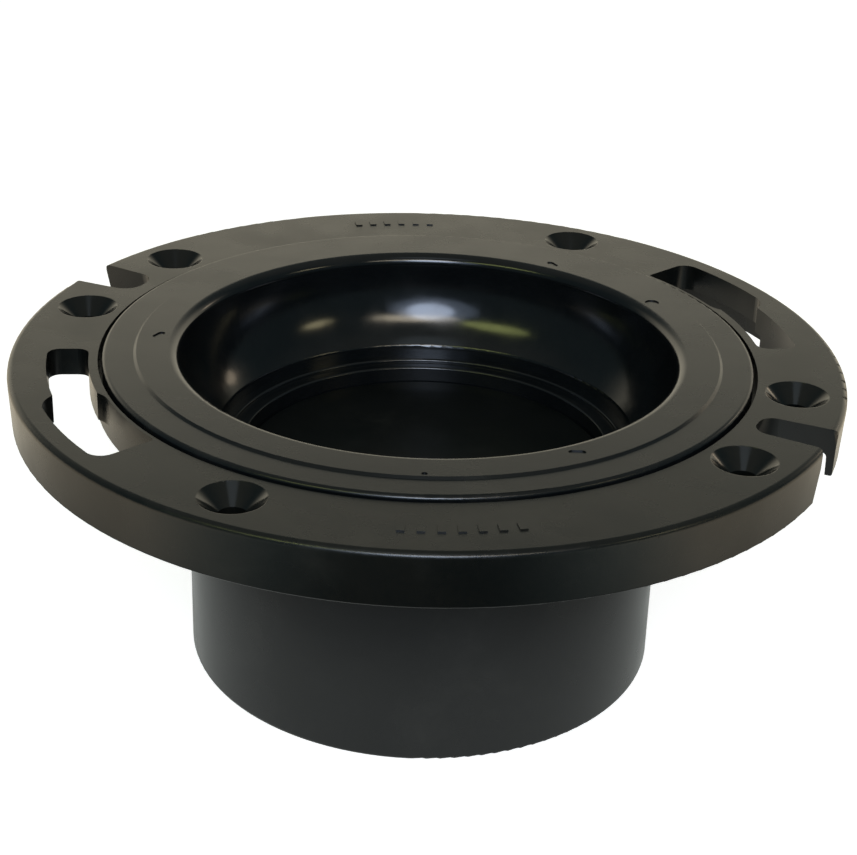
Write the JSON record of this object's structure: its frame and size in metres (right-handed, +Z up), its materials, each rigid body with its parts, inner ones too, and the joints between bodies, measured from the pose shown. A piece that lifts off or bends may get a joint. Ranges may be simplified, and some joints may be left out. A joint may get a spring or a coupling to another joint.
{
  "type": "closet flange",
  "caption": "Black plastic toilet floor flange: swivelling outer ring with curved bolt slots and screw holes, clamped under the lip of a deep hub with a closed drain.",
  "frame": {"origin": "centre of the hub's bottom end, on the drain's axis", "axes": "+Z up along the drain, from the pipe to the toilet; +X between the narrow ends of the two bolt slots"},
  "size_m": [0.1776, 0.1776, 0.0714],
  "materials": {
    "hub": "satin moulded ABS, glossy in the bowl",
    "ring": "matte moulded ABS, lightly scuffed",
    "disc": "glossy moulded ABS"
  },
  "bodies": {
    "hub": {"hub": "hub"},
    "ring": {"mounting_ring": "ring"},
    "disc": {"knockout_disc": "disc"}
  },
  "joints": [
    {"name": "ring_swivel", "type": "hinge", "parent": "hub", "child": "ring", "pos_m": [0, 0, 0.0649], "axis": [0, 0, 1], "continuous": true},
    {"name": "knockout_lift", "type": "slide", "parent": "hub", "child": "disc", "axis": [0, 0, 1], "range_m": [0, 0.05]}
  ]
}
